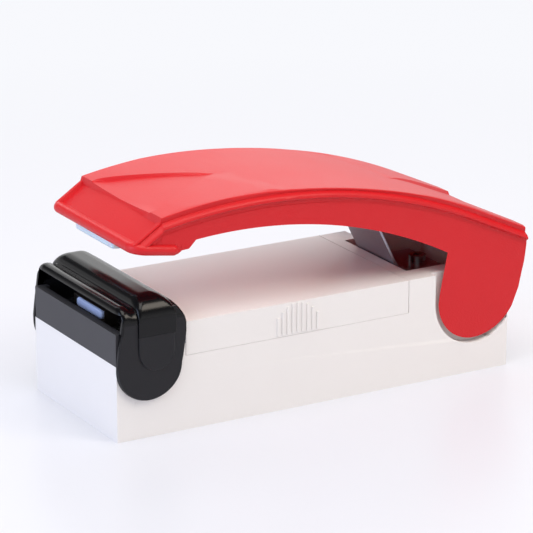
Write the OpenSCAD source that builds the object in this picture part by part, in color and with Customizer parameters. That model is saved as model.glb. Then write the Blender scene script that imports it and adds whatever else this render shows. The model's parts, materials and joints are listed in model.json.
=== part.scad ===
/* [Body] */
// Length of the body, front to rear
body_l = 100; // [98:0.5:112]
// Width of the body
body_w = 38.8; // [37.6:0.2:46]
// Height of the body
body_h = 24.4; // [24:0.2:27]
// Thickness of the body's side and end walls
wall = 1.6; // [1.2:0.1:2]
// Thickness of the body's floor
floor_t = 1.6; // [1.2:0.1:2]
// Radius of the body's upright corners
corner_r = 1.2; // [0.6:0.1:2]
// Height of the white front face, under the dark panel
front_h = 17; // [16:0.1:18]
// Length of the front bay that carries the heater
front_bay_l = 16.6; // [16:0.1:19]
// Length of the rear block that carries the handle
rear_l = 27; // [26:0.5:34]
// Length of the deck between the battery cover and the well
deck_l = 3.1; // [2.6:0.1:5]
// Thickness of the rear block behind the well
rear_wall = 3; // [2:0.1:4]

/* [Battery cover] */
// Depth of the cover's skirt below the top
skirt_h = 7.6; // [5:0.1:7.8]
// Thickness of the cover
cover_t = 1.5; // [1:0.1:2]
// Gap around the cover
cover_gap = 0.15; // [0.1:0.05:0.3]
// Number of grip ribs on each side
rib_count = 9; // [5:1:12]
// Distance from rib to rib
rib_pitch = 1.25; // [1:0.05:1.6]
// Width of a rib
rib_w = 0.6; // [0.4:0.05:0.8]
// How far a rib stands out
rib_out = 0.3; // [0.2:0.05:0.5]
// Distance of the ribs' middle behind the body's middle
rib_x = -5.6; // [-12:0.2:6]
// Length of the clip inside the ribs
clip_l = 8; // [5:0.5:12]
// Depth of the clip below the cover's skirt
clip_drop = 3.6; // [2:0.1:5]

/* [Cells] */
// Diameter of an AA cell
cell_d = 14.5; // [14:0.1:14.6]
// Length of an AA cell with its nub
cell_l = 50.5; // [49:0.1:50.6]
// Gap between the two cells
cell_gap = 0.6; // [0.4:0.1:1.5]
// Play under the cells
cell_play = 0.3; // [0.2:0.05:0.5]
// Room for the link in front of the cells
link_room = 3.2; // [2.6:0.1:4]
// Width of a contact plate
plate_w = 8; // [7:0.1:8.4]
// Height of a contact plate
plate_h = 10; // [9:0.1:11]

/* [Handle] */
// Distance of the handle's pivot from the body's rear end
pivot_in = 9.4; // [9:0.1:11]
// Height of the handle's pivot
pivot_z = 17.5; // [16.5:0.1:18.5]
// Radius of the round ears
ear_r = 10; // [9:0.1:10.4]
// Thickness of an ear
ear_t = 2; // [1.6:0.1:2.4]
// Thickness of the handle's skin
skin = 1.8; // [1.4:0.1:2.2]
// Radius of the arch along the top
arch_r = 130; // [124:1:140]
// Height of the arch's highest point
arch_z = 49.6; // [48.5:0.1:51]
// Distance of the highest point in front of the pivot
arch_back = 54.6; // [52:0.2:57]
// Radius of the arch along the underside
under_r = 112; // [108:1:118]
// Height of the underside's highest point
under_z = 43.1; // [42.6:0.1:43.8]
// Distance of the underside's highest point in front of the pivot
under_back = 60.6; // [59:0.2:62]
// Distance of the crest in front of the pivot
crest_back = 79; // [78:0.1:80]
// Distance of the lip's front in front of the pivot
lip_back = 86.5; // [86:0.1:87.5]
// Depth of the lip's underside below the arch's highest point
lip_drop = 8.2; // [7.8:0.1:8.6]
// Length of the lip, front to rear
lip_l = 10.6; // [9:0.1:11]
// Slope of the lip's underside
lip_tilt = 9; // [7:0.5:11]
// Length of the tail behind the pivot
tail_l = 13.3; // [12:0.1:14]
// Thickness of the rolled lip
lip_roll = 2.3; // [1.8:0.1:2.6]
// Radius of the lip's corners seen from above
lip_corner_r = 5; // [3:0.2:7]
// Depth of the rolled edge along the top
edge_h = 2.3; // [1.6:0.1:3]
// How far the rolled edge stands out over the side wall
edge_out = 0.4; // [0.2:0.05:0.6]
// Height of the raised corners over the arch
wing_h = 1; // [0.5:0.1:1.4]
// Radius of the pivot studs
stud_r = 2; // [1.5:0.1:2.5]
// Length of the pivot studs
stud_l = 2.6; // [2:0.1:3]
// Clearance around a running stud
run_gap = 0.05; // [0.03:0.01:0.08]
// Clearance around the ears in their pockets
pocket_gap = 0.6; // [0.4:0.05:0.8]
// Clearance between an ear and the bottom of its pocket
side_gap = 0.15; // [0.1:0.05:0.25]

/* [Pressure pad] */
// Length of the pad across the handle
pad_w = 17.4; // [12:0.2:22]
// Width of the pad
pad_t = 2.6; // [1.8:0.1:3]
// How far the pad hangs below the lip
pad_drop = 1.8; // [1:0.1:2]
// How deep the pad sits in the lip
pad_seat = 1; // [0.6:0.1:1.2]

/* [Safety cover] */
// Distance of the cover's hinge from the body's front
flip_in = 7.2; // [7:0.1:8]
// Height of the cover's hinge
flip_z = 15.6; // [15:0.1:16]
// Radius of the cover's round ears
flip_r = 7.4; // [6.5:0.1:7.6]
// Distance of the cover's rear wall behind its hinge
flip_back = 7.2; // [7:0.1:7.6]
// Thickness of the cover's ears
flip_t = 1; // [0.8:0.05:1.2]
// Gap between the cover's ears and the body
flip_gap = 0.12; // [0.1:0.02:0.2]
// Height of the cover's front bump
bump_z = 29.7; // [29.4:0.1:30]
// Radius of the cover's front bump
bump_r = 1.5; // [1.2:0.1:1.6]
// Height of the cover's raised band
band_z = 31.5; // [31:0.1:31.6]
// Width of the raised band, front to rear
band_l = 9; // [7:0.2:9.4]
// How far the band stands out from the ears
band_out = 0.55; // [0.3:0.05:0.8]
// Radius of the cover's long upper edges
flip_corner_r = 3.4; // [2:0.1:4]
// Height of the slit's upper edge
slit_z = 28.6; // [28:0.1:28.8]
// Thickness of the cover's top
flip_top = 1.5; // [1.2:0.1:1.6]
// Radius of the cover's hinge studs
flip_stud_r = 1.6; // [1.2:0.1:2]
// Length of the cover's hinge studs
flip_stud_l = 2.4; // [1.5:0.1:2.8]

/* [Heater] */
// Height of the dark panel's upper edge
panel_z = 24.2; // [23.6:0.1:24.4]
// Thickness of the dark panel
panel_t = 1.8; // [1.4:0.1:2]
// Length of the panel's side walls
panel_side_l = 2.85; // [2.4:0.05:3.4]
// Height of the carrier's deck
deck_z = 20.6; // [20:0.1:21.2]
// Thickness of the carrier's deck
deck_t = 1.6; // [1.2:0.1:2]
// Width of the heater block, side to side
heater_w = 11.8; // [10:0.2:14]
// Width of the heater block, front to rear
heater_t = 3.2; // [2.4:0.1:4]
// Distance of the heater block's front behind the body's front
heater_in = 3.4; // [3:0.1:4]
// Height of the heater block's top
heater_z = 25.1; // [24.6:0.1:25.6]
// Height of the heater block
heater_h = 2.2; // [1.8:0.1:2.4]
// Thickness of the insulating sheet
sheet_t = 0.8; // [0.5:0.1:1]
// Thickness of the heating strip
strip_t = 0.2; // [0.15:0.05:0.3]
// Width of the heating strip
strip_w = 2; // [1.5:0.1:2.4]
// Thickness of the release tape
tape_t = 0.15; // [0.1:0.05:0.25]
// Width of the release tape
tape_w = 2.8; // [2.2:0.1:3.2]

/* [Springs and contacts] */
// Width of the leaf spring
leaf_w = 16; // [12:0.5:20]
// Thickness of the leaf spring
leaf_t = 0.6; // [0.4:0.05:0.8]
// Height of the leaf spring's foot
leaf_foot_z = 21; // [19:0.1:21.6]
// Lean of the leaf spring from the upright
leaf_lean = 22.5; // [20:0.5:24]
// Radius of the bend between the leaf spring's foot and its blade
leaf_bend = 7; // [5:0.1:7.4]
// Width of the well in the rear block
well_w = 26.4; // [26:0.2:27.2]
// Height of the well's floor
well_z = 2; // [1.8:0.1:3]
// Thickness of the contact plates
plate_t = 0.4; // [0.3:0.05:0.6]
// Diameter of the leads
lead_d = 1.3; // [1:0.1:1.4]
// Radius of the carrier screws' shanks
screw_r = 1.1; // [0.9:0.05:1.3]
// Radius of the carrier screws' heads
screw_head_r = 2; // [1.7:0.05:2.2]

/* [Hidden] */
$fn = 64;

// Clearance between faces that touch, and the overshoot of a cut
fit = 0.02;
cut = 1;

// Places of the body
x_front = -body_l / 2;
x_rear = body_l / 2;
seam_x = x_rear - rear_l;
bay_x = x_front + front_bay_l;
part_z = body_h - skirt_h;
inner_y = body_w / 2 - wall;
cheek_x = x_front + panel_side_l + cover_gap;
cheek_z = flip_z + flip_stud_r + 2.4;
well_x0 = seam_x + deck_l;
well_x1 = x_rear - rear_wall;
bay_x1 = well_x0 - wall;

// Places of the cells, whose contacts stand on the bay's two end walls
cell_r = cell_d / 2;
cell_y = (cell_d + cell_gap) / 2;
cell_z = floor_t + cell_play + cell_r;
cell_x0 = bay_x + link_room;
cell_x1 = cell_x0 + cell_l;
nub_r = 2.7;
nub_l = 1;

// Places of the leads, low in the bay's two corners
lead_y = inner_y - 1.7;
lead_z = floor_t + 1.4;
gate_w = lead_d + 1;

// Places of the safety cover
flip_x = x_front + flip_in;
flip_in_y = body_w / 2 + flip_gap;
flip_out_y = flip_in_y + flip_t;
flip_rear_x = flip_x + flip_back;
band_x = flip_rear_x - 0.6 - band_l / 2;
band_low_z = flip_z + 4.1;

// Places of the heater and its carrier
heater_x = x_front + heater_in + heater_t / 2;
heater_low_z = heater_z - heater_h;
pedestal_z = heater_low_z - sheet_t;
saddle_y = heater_w / 2 + 0.9;
terminal_y = heater_w / 2 + 4;
terminal_x = heater_x + heater_t / 2 + 1.8;
terminal_z = deck_z + strip_t + 2 * fit;
terminal_screw_r = 0.8;
terminal_head_r = 1.35;
carrier_y = body_w / 2 - 0.2;
carrier_x1 = bay_x - cover_gap;
post_r = screw_head_r + 1.2;
screw_x = bay_x - wall / 2 - post_r - 0.6;
screw_y = inner_y - post_r - 2.6;
screw_seat_z = 6;

// Places of the handle
pivot_x = x_rear - pivot_in;
arch_x = pivot_x - arch_back;
under_x = pivot_x - under_back;
crest_x = pivot_x - crest_back;
lip_x = pivot_x - lip_back;
lip_z = arch_z - lip_drop;
tail_x = pivot_x + tail_l;
under_end_x = pivot_x - ear_r + 2.2;
notch_x = crest_x + 8;
ear_in = body_w / 2 - ear_t;
pocket_in = ear_in - side_gap;
pocket_r = ear_r + pocket_gap;
pad_in = 0.9;

// Places of the leaf spring and of the switch beside it
leaf_mid_z = leaf_foot_z + leaf_t / 2;
bend_top_z = leaf_mid_z + leaf_bend * (1 - sin(leaf_lean));
bend_x = well_x0 + leaf_t + leaf_bend * 0.83 + max(0, body_h - bend_top_z) * tan(leaf_lean);
leaf_screw_x = bend_x + screw_head_r + 3;
leaf_x1 = leaf_screw_x + screw_head_r + 1;
curl_r = 1.6;
blade_w = 3.6;
switch_gap = 1.2;
switch_x = well_x0 + 2.4;
switch_y = -leaf_w / 2 - 0.9 - blade_w / 2;
switch_end_x = switch_x + 17;
anvil_z = well_z + 11;
blade_z = anvil_z + plate_t + switch_gap;

function steps(a, b, n) = [for (i = [0:n]) a + (b - a) * i / n];
function arc(c, r, a, b, n) = [for (t = steps(a, b, n)) c + r * [cos(t), sin(t)]];
function drop_of(x, cx, r) = sqrt(r * r - (x - cx) * (x - cx)) - r;
arch_slope = (pivot_x - arch_x) / sqrt(arch_r * arch_r - pow(pivot_x - arch_x, 2));
function arch_at(x) = arch_z + drop_of(min(x, pivot_x), arch_x, arch_r)
    - max(0, x - pivot_x) * arch_slope;
function under_at(x) = under_z + drop_of(x, under_x, under_r);
function roof_at(x) = arch_at(x) - skin;
function lip_point(p) = [
    lip_x + p.x * cos(lip_tilt) + p.y * sin(lip_tilt),
    lip_z - p.x * sin(lip_tilt) + p.y * cos(lip_tilt)];

// Draws a shape of the side view and gives it a width across the body
module across(w, y = 0) {
    translate([0, y + w / 2, 0])
        rotate([90, 0, 0])
            linear_extrude(w)
                children();
}

// Draws a shape of the end view and gives it a length along the body
module along(x0, x1) {
    translate([x0, 0, 0])
        rotate([90, 0, 90])
            linear_extrude(x1 - x0)
                children();
}

// A block between two corners
module block(low, high) {
    translate(low)
        cube(high - low);
}

// A pin across the body
module cross_pin(x, z, r, y0, y1) {
    translate([x, y1, z])
        rotate([90, 0, 0])
            cylinder(r = r, h = y1 - y0);
}

// The same shape on both sides of the body
module both_sides() {
    children();
    mirror([0, 1, 0])
        children();
}

// A rectangle with four round corners
module round_rect(l, w, r) {
    square([l - 2 * r, w], center = true);
    square([l, w - 2 * r], center = true);
    for (x = [-1, 1], y = [-1, 1])
        translate([x * (l / 2 - r), y * (w / 2 - r)])
            circle(r);
}

// A doorway of a given half width and height with round upper corners
module round_top(half_w, top, r) {
    translate([-half_w, 0])
        square([2 * half_w, top - r]);
    translate([-half_w + r, 0])
        square([2 * (half_w - r), top]);
    for (y = [-1, 1])
        translate([y * (half_w - r), top - r])
            circle(r);
}

// A round wire along a list of points, with a ring of corners at each point
wire_sides = 8;
function unit(v) = v / norm(v);
function way_at(points, i) = unit(
    unit(points[min(i + 1, len(points) - 1)] - points[min(i, len(points) - 2)])
    + unit(points[max(i, 1)] - points[max(i - 1, 0)]));
function square_to(u, way) = unit(u - (u * way) * way);
function wire_corners(points) = let (last = len(points) - 1) [
    for (i = 0, u = square_to([0.2, 0.3, 1], way_at(points, 0)); i <= last;
        i = i + 1, u = square_to(u, way_at(points, min(i, last))))
        let (v = cross(way_at(points, i), u))
            for (a = steps(0, 360, wire_sides)) if (a < 360)
                points[i] + lead_d / 2 * (cos(a) * u + sin(a) * v)];

module wire(points) {
    n = wire_sides;
    last = n * (len(points) - 1);
    polyhedron(wire_corners(points), concat(
        [[for (k = [0:n - 1]) k], [for (k = [0:n - 1]) last + n - 1 - k]],
        [for (i = [0:n:last - 1], k = [0:n - 1])
            [i + k, i + n + (k + 1) % n, i + (k + 1) % n]],
        [for (i = [0:n:last - 1], k = [0:n - 1])
            [i + k, i + n + k, i + n + (k + 1) % n]]
    ));
}

// A cross slot for a screw's head, down from its top face
module cross_slot() {
    for (a = [0, 90])
        rotate(a)
            cube([2.4, 0.6, 1.4], center = true);
}

// A round post or hole at each of the carrier's two screws
module at_screws() {
    for (y = [-1, 1])
        translate([screw_x, y * screw_y, 0])
            children();
}

module body_shell() {
    color("whitesmoke")
        difference() {
            union() {
                difference() {
                    body_blocks();
                    body_hollows();
                }
                cradles();
                hinge_bosses();
                at_screws()
                    translate([0, 0, floor_t / 2])
                        cylinder(r = post_r, h = front_h - floor_t / 2);
                spring_post();
                switch_post();
            }
            both_sides()
                ear_pocket();
            both_sides()
                cross_pin(flip_x, flip_z, flip_stud_r + run_gap,
                    body_w / 2 - flip_stud_l - 0.3, body_w / 2 + cut);
            at_screws() {
                translate([0, 0, -cut])
                    cylinder(r = screw_head_r + 0.2, h = screw_seat_z + cut);
                cylinder(r = screw_r + 0.1, h = front_h + cut);
            }
            lead_gates();
        }
}

// The lower tub, the rear block, the front bay and its two raised cheeks
module body_blocks() {
    intersection() {
        linear_extrude(body_h)
            round_rect(body_l, body_w, corner_r);
        union() {
            block([x_front, -body_w / 2, 0], [bay_x, body_w / 2, front_h]);
            block([cheek_x, -body_w / 2, 0], [bay_x, body_w / 2, cheek_z]);
            block([bay_x, -body_w / 2, 0], [seam_x, body_w / 2, part_z]);
            block([seam_x, -body_w / 2, 0], [x_rear, body_w / 2, body_h]);
        }
    }
}

// The front bay, the battery bay and the well
module body_hollows() {
    block([x_front + wall, -inner_y, floor_t], [bay_x - wall, inner_y, front_h + cut]);
    block([cheek_x - cut, -inner_y, front_h], [bay_x + cut, inner_y, cheek_z + cut]);
    block([bay_x, -inner_y, floor_t], [bay_x1, inner_y, part_z]);
    block([bay_x, -inner_y, floor_t], [seam_x - cut, inner_y, body_h]);
    block([well_x0, -well_w / 2, well_z], [well_x1, well_w / 2, body_h + cut]);
}

// The pocket that one of the handle's ears turns in, with the bore for its stud
module ear_pocket() {
    cross_pin(pivot_x, pivot_z, pocket_r, pocket_in, body_w / 2 + cut);
    block([pivot_x - pocket_r, pocket_in, pivot_z], [x_rear + cut, body_w / 2 + cut, body_h + cut]);
    cross_pin(pivot_x, pivot_z, stud_r + run_gap, pocket_in - stud_l - 0.3, pocket_in + cut);
}

// Two ribs on the floor that the cells lie in
module cradles() {
    rib_t = 1.6;
    for (x = [cell_x0 + 12, cell_x1 - 14])
        difference() {
            block([x, -inner_y - fit, floor_t / 2], [x + rib_t, inner_y + fit, cell_z - 2]);
            for (y = [-1, 1])
                translate([x - cut, y * cell_y, cell_z])
                    rotate([0, 90, 0])
                        cylinder(r = cell_r + 0.1, h = rib_t + 2 * cut);
            for (y = [-1, 1])
                block([x - cut, y * lead_y - gate_w / 2, floor_t],
                    [x + rib_t + cut, y * lead_y + gate_w / 2, cell_z]);
        }
}

// Bosses inside the cheeks for the safety cover's studs
module hinge_bosses() {
    both_sides()
        cross_pin(flip_x, flip_z, flip_stud_r + 1.1, body_w / 2 - flip_stud_l - 1.1,
            body_w / 2 - wall / 2);
}

module spring_post() {
    difference() {
        block([leaf_screw_x - 3, -3.4, well_z - 1], [leaf_screw_x + 3, 3.4, leaf_foot_z]);
        translate([leaf_screw_x, 0, leaf_foot_z - 8])
            cylinder(r = screw_r + fit, h = 8 + cut);
    }
}

module switch_post() {
    block([switch_x, switch_y - 2.2, well_z - 1], [switch_x + 6, switch_y + 2.2, anvil_z]);
}

// Gates low in the walls that the leads and a contact's tail pass through
module lead_gates() {
    for (y = [-1, 1])
        block([bay_x - wall - cut, y * lead_y - gate_w / 2, lead_z - gate_w / 2],
            [bay_x + cut, y * lead_y + gate_w / 2, lead_z + gate_w / 2]);
    for (y = [0, cell_y])
        block([bay_x1 - cut, y - gate_w / 2 - 0.4, well_z],
            [well_x0 + cut, y + gate_w / 2 + 0.4, well_z + gate_w]);
}

module heater_carrier() {
    color("#2b2b30")
        difference() {
            union() {
                block([x_front, -carrier_y, front_h], [x_front + panel_t, carrier_y, panel_z]);
                both_sides()
                    block([x_front, inner_y - 0.2, front_h], [cheek_x - cover_gap, carrier_y, panel_z]);
                block([x_front, -inner_y + cover_gap, deck_z - deck_t],
                    [carrier_x1, inner_y - cover_gap, deck_z]);
                block([carrier_x1 - 1.4, -inner_y + cover_gap, front_h],
                    [carrier_x1, inner_y - cover_gap, body_h - 0.5]);
                block([heater_x - heater_t / 2 - 0.8, -heater_w / 2 - 0.8, deck_z - deck_t],
                    [heater_x + heater_t / 2 + 0.8, heater_w / 2 + 0.8, pedestal_z]);
                at_screws()
                    translate([0, 0, front_h])
                        cylinder(r = screw_r + 1.4, h = deck_z - front_h);
            }
            at_screws()
                translate([0, 0, front_h - cut])
                    cylinder(r = screw_r + fit, h = deck_z - front_h + cut - 0.8);
            for (y = [-terminal_y, terminal_y]) {
                translate([heater_x, y, deck_z - deck_t - cut])
                    cylinder(r = terminal_screw_r + fit, h = deck_t + 2 * cut);
                translate([terminal_x, y, deck_z - deck_t - cut])
                    cylinder(d = lead_d + 0.4, h = deck_t + 2 * cut);
            }
        }
}

module heat_insulator() {
    color("tan")
        block([heater_x - heater_t / 2 - 0.5, -heater_w / 2 - 0.5, pedestal_z + fit],
            [heater_x + heater_t / 2 + 0.5, heater_w / 2 + 0.5, heater_low_z]);
}

module heater_block() {
    height = heater_h - fit;
    color("#dfe8f6")
        along(heater_x - heater_t / 2, heater_x + heater_t / 2)
            translate([0, heater_z - height / 2])
                round_rect(heater_w, height, 0.9);
}

// A strip that goes over the heater block and down its two ends to feet on the deck
module saddle(gap, t, half_w, foot) {
    y0 = saddle_y + gap + fit;
    top_z = heater_z + gap + fit;
    low_z = deck_z + gap + fit;
    block([heater_x - half_w, -y0 - t, top_z], [heater_x + half_w, y0 + t, top_z + t]);
    both_sides() {
        block([heater_x - half_w, y0, low_z], [heater_x + half_w, y0 + t, top_z + t]);
        block([heater_x - half_w, y0, low_z], [heater_x + half_w, saddle_y + foot, low_z + t]);
    }
}

module heating_element() {
    color("silver")
        saddle(0, strip_t, strip_w / 2, terminal_y - terminal_screw_r - 0.1 - saddle_y);
}

module release_tape() {
    color("#e8dcc0")
        saddle(strip_t + fit, tape_t, tape_w / 2, 1.1);
}

module element_terminals() {
    color("goldenrod")
        both_sides()
            difference() {
                block([heater_x - 1.4, terminal_y - 1.8, terminal_z],
                    [terminal_x + 0.9, terminal_y + 1.8, terminal_z + plate_t]);
                translate([heater_x, terminal_y, deck_z])
                    cylinder(r = terminal_screw_r + 0.1, h = 2);
            }
}

module terminal_screws() {
    head_z = terminal_z + plate_t + fit;
    color("silver")
        for (y = [-terminal_y, terminal_y])
            translate([heater_x, y, 0])
                difference() {
                    union() {
                        translate([0, 0, deck_z - deck_t])
                            cylinder(r = terminal_screw_r, h = head_z + 0.2 - deck_z + deck_t);
                        translate([0, 0, head_z])
                            cylinder(r = terminal_head_r, h = 0.9);
                    }
                    translate([-2, -0.2, head_z + 0.5])
                        cube([4, 0.4, 1]);
                }
}

module carrier_screws() {
    color("silver")
        at_screws()
            difference() {
                union() {
                    translate([0, 0, screw_seat_z - 1.6])
                        cylinder(r = screw_head_r, h = 1.6 - fit);
                    translate([0, 0, screw_seat_z - 0.8])
                        cylinder(r = screw_r, h = deck_z - screw_seat_z - 0.1);
                }
                translate([0, 0, screw_seat_z - 1.6])
                    cross_slot();
            }
}

// Side view of the safety cover's ears and its lower top
module flip_profile() {
    top_z = bump_z - 0.7;
    polygon(concat(
        [[flip_x - flip_r, flip_z + 1], [flip_x - flip_r + 0.5, flip_z + 6]],
        [[flip_x - flip_r + 1.7, slit_z - 0.9]],
        arc([flip_x - flip_r + 0.8 + bump_r, bump_z - bump_r], bump_r, 170, 60, 8),
        [[band_x - band_l / 2, top_z], [flip_rear_x - 0.4, top_z], [flip_rear_x, top_z - 1]],
        [[flip_rear_x + 2, flip_z + 9.8], [flip_rear_x + 2, flip_z + 7.4]],
        [[flip_x + flip_r, flip_z - 1], [flip_x, flip_z]]
    ));
    translate([flip_x, flip_z])
        circle(flip_r);
}

// Side view of the raised band that runs over the cover and down its ears
module band_profile(grow = 0) {
    half = band_l / 2 - grow;
    top = band_z - grow;
    translate([band_x, band_low_z])
        circle(half);
    polygon(concat(
        [[band_x - half, band_low_z]],
        arc([band_x - half + 2.4, top - 2.4], 2.4, 180, 90, 8),
        arc([band_x + half - 3, top - 3], 3, 90, 0, 8),
        [[band_x + half, band_low_z]]
    ));
}

// The studs that the safety cover turns on
module flip_studs() {
    both_sides()
        cross_pin(flip_x, flip_z, flip_stud_r, body_w / 2 - flip_stud_l, flip_in_y + flip_t / 2);
}

module safety_cover() {
    lid_z = slit_z - 0.3;
    color("#141417") {
        difference() {
            union() {
                intersection() {
                    across(2 * flip_out_y)
                        flip_profile();
                    along(x_front - 10, 0)
                        round_top(flip_out_y, bump_z, flip_corner_r);
                }
                intersection() {
                    across(2 * (flip_out_y + band_out))
                        band_profile();
                    along(x_front - 10, 0)
                        round_top(flip_out_y + band_out, band_z, flip_corner_r + band_out);
                }
            }
            across(2 * flip_in_y)
                polygon([
                    [x_front - 5, -cut], [x_front - 5, lid_z], [flip_rear_x - 1.4, lid_z],
                    [flip_rear_x - 1, lid_z - 1.1], [flip_rear_x + 0.4, body_h + 0.2],
                    [flip_rear_x + 5, body_h + 0.2], [flip_rear_x + 5, -cut],
                ]);
            intersection() {
                across(2 * (flip_in_y - 2))
                    band_profile(flip_top);
                block([x_front, -flip_in_y, slit_z - 1], [0, flip_in_y, band_z]);
            }
        }
        flip_studs();
    }
}

module battery_cover() {
    x0 = bay_x + cover_gap;
    x1 = seam_x - cover_gap;
    rib_span = (rib_count - 1) * rib_pitch;
    half_w = body_w / 2;
    roof_z = body_h - cover_t;
    color("white") {
        difference() {
            block([x0, -half_w, part_z + 0.05], [x1, half_w, body_h]);
            block([x0 + cover_t, -half_w + cover_t, 0], [x1 - cover_t, half_w - cover_t, roof_z]);
            both_sides()
                block([x0 - cut, half_w - 0.3, part_z - cut], [x1 + cut, half_w + cut, part_z + 0.35]);
        }
        both_sides() {
            for (i = [0:rib_count - 1])
                grip_rib(rib_x - rib_span / 2 + i * rib_pitch, 2 * i / (rib_count - 1) - 1);
            block([rib_x - clip_l / 2, half_w - cover_t - 1, part_z + 0.05],
                [rib_x + clip_l / 2, half_w - cover_t + fit, roof_z + fit]);
            block([rib_x - clip_l / 2, inner_y - 1.4, part_z - clip_drop],
                [rib_x + clip_l / 2, inner_y - 0.3, roof_z + fit]);
        }
        for (x = [x0 + 14, x1 - 14])
            block([x - 0.6, -half_w + cover_t - fit, roof_z - 3],
                [x + 0.6, half_w - cover_t + fit, roof_z + fit]);
    }
}

// One grip rib, at a share from -1 to 1 of the row, whose upper end follows a flat arch
module grip_rib(x, share) {
    block([x - rib_w / 2, body_w / 2 - 0.2, part_z + 0.6],
        [x + rib_w / 2, body_w / 2 + rib_out, body_h - 0.2 - 2.9 * share * share]);
}

// An AA cell along X, its nub at the front for side 1 and at the rear for side -1
module cell(side) {
    translate([(cell_x0 + cell_x1) / 2, side * cell_y, cell_z])
        rotate([0, -90 * side, 0])
            translate([0, 0, -cell_l / 2]) {
                cylinder(r = cell_r - 0.25, h = 0.6);
                translate([0, 0, 0.5])
                    cylinder(r = cell_r, h = cell_l - nub_l - 1);
                translate([0, 0, cell_l - nub_l - 0.6])
                    cylinder(r = cell_r - 0.4, h = 0.6);
                cylinder(r = nub_r, h = cell_l);
            }
}

module left_cell() {
    color("#3d6fb5")
        cell(1);
}

module right_cell() {
    color("#3d6fb5")
        cell(-1);
}

// A contact plate on a wall, whose strip is bent out to a cell's end and back
module bent_contact(wall_x, tip_x, y) {
    out = tip_x < wall_x ? 1 : -1;
    x = wall_x - out * fit;
    block([min(x, x - out * plate_t), y - plate_w / 2, cell_z - plate_h / 2],
        [max(x, x - out * plate_t), y + plate_w / 2, cell_z + plate_h / 2]);
    across(4, y)
        polygon([
            [x, cell_z - 4.6], [tip_x + out * fit, cell_z - 1.2], [tip_x + out * fit, cell_z + 1.2],
            [x, cell_z + 4.6], [x - out * plate_t / 2, cell_z + 3.8],
            [tip_x + out * plate_t, cell_z + 1], [tip_x + out * plate_t, cell_z - 1],
            [x - out * plate_t / 2, cell_z - 3.8],
        ]);
}

module cell_link() {
    color("gainsboro") {
        for (y = [-cell_y, cell_y])
            bent_contact(bay_x, cell_x0, y);
        block([bay_x + fit, -cell_y, cell_z - plate_h / 2],
            [bay_x + fit + plate_t, cell_y, cell_z + plate_h / 2]);
    }
}

// The positive contact has a tab beside the cell for the red lead
module positive_contact() {
    x = bay_x1 - fit;
    color("gainsboro") {
        bent_contact(bay_x1, cell_x1, -cell_y);
        block([x - plate_t, -lead_y - lead_d / 2, cell_z - plate_h / 2],
            [x, -cell_y, cell_z - plate_h / 2 + lead_d + 1]);
    }
}

// The negative contact has a tail that passes through the wall for the black lead
module negative_contact() {
    x = bay_x1 - fit;
    tail_z = well_z + 1;
    color("gainsboro") {
        bent_contact(bay_x1, cell_x1, cell_y);
        block([x - plate_t, cell_y - 1.2, tail_z], [x, cell_y + 1.2, cell_z]);
        block([x - plate_t, cell_y - 1.2, tail_z], [well_x0 + 1.6, cell_y + 1.2, tail_z + plate_t]);
    }
}

module red_lead() {
    color("crimson")
        wire([
            [bay_x1 - plate_t - 2 * fit, -lead_y, cell_z - plate_h / 2 + 1.2],
            [bay_x1 - 2.6, -lead_y, cell_z - plate_h / 2 + 1.2],
            [cell_x1 - 3, -lead_y, lead_z],
            [screw_x - 5.4, -lead_y, lead_z],
            [terminal_x - 1.6, -terminal_y - 2, lead_z + 4],
            [terminal_x, -terminal_y, lead_z + 10],
            [terminal_x, -terminal_y, terminal_z - fit],
        ]);
}

module blue_lead() {
    low_z = well_z + lead_d / 2 + 0.2;
    mid_x = (cell_x1 + bay_x1) / 2 - 0.1;
    color("royalblue")
        wire([
            [switch_x + 8 + plate_t + fit, switch_y, anvil_z - 2],
            [switch_x + 9.4, switch_y, anvil_z - 2],
            [switch_x + 10, switch_y + 0.3, anvil_z - 3.2],
            [switch_x + 9, switch_y + 2, low_z + 2],
            [switch_x + 8, switch_y + 3, low_z + 0.4],
            [switch_x + 6, switch_y + 5, low_z],
            [switch_x + 1, 0.6, low_z],
            [switch_x - 1.4, 0, low_z],
            [mid_x + 1.6, 0, low_z],
            [mid_x, 1.6, low_z],
            [mid_x, lead_y - 2, low_z],
            [mid_x - 2.4, lead_y, lead_z],
            [screw_x - 5.4, lead_y, lead_z],
            [terminal_x - 1.6, terminal_y + 2, lead_z + 4],
            [terminal_x, terminal_y, lead_z + 10],
            [terminal_x, terminal_y, terminal_z - fit],
        ]);
}

module black_lead() {
    low_z = well_z + 1 + plate_t / 2;
    foot_x = switch_end_x - 2.6;
    color("#222222")
        wire([
            [well_x0 + 1.6 + fit, cell_y, low_z],
            [well_x0 + 5, cell_y, low_z],
            [leaf_screw_x + 4.4, 4.6, low_z],
            [foot_x, -3, low_z],
            [foot_x, switch_y + 0.6, low_z],
        ]);
}

module switch_anvil() {
    x1 = switch_x + 8;
    color("goldenrod") {
        block([switch_x + 0.4, switch_y - blade_w / 2, anvil_z + fit],
            [x1, switch_y + blade_w / 2, anvil_z + plate_t]);
        block([x1, switch_y - 1.2, anvil_z - 3], [x1 + plate_t, switch_y + 1.2, anvil_z + plate_t]);
        translate([switch_x + 1.6, switch_y, anvil_z + plate_t / 2])
            cylinder(r = 0.9, h = plate_t / 2 + 0.5);
    }
}

module switch_blade() {
    foot_x = switch_end_x - 5;
    color("goldenrod")
        difference() {
            across(blade_w, switch_y)
                polygon([
                    [switch_end_x, well_z + fit], [foot_x, well_z + fit], [foot_x, blade_z - plate_t],
                    [switch_x + 0.4, blade_z - plate_t], [switch_x + 0.4, blade_z],
                    [foot_x + plate_t, blade_z], [foot_x + plate_t, well_z + plate_t],
                    [switch_end_x, well_z + plate_t],
                ]);
            translate([switch_end_x - 1.4, switch_y, 0])
                cylinder(r = 0.55, h = anvil_z);
        }
}

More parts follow.
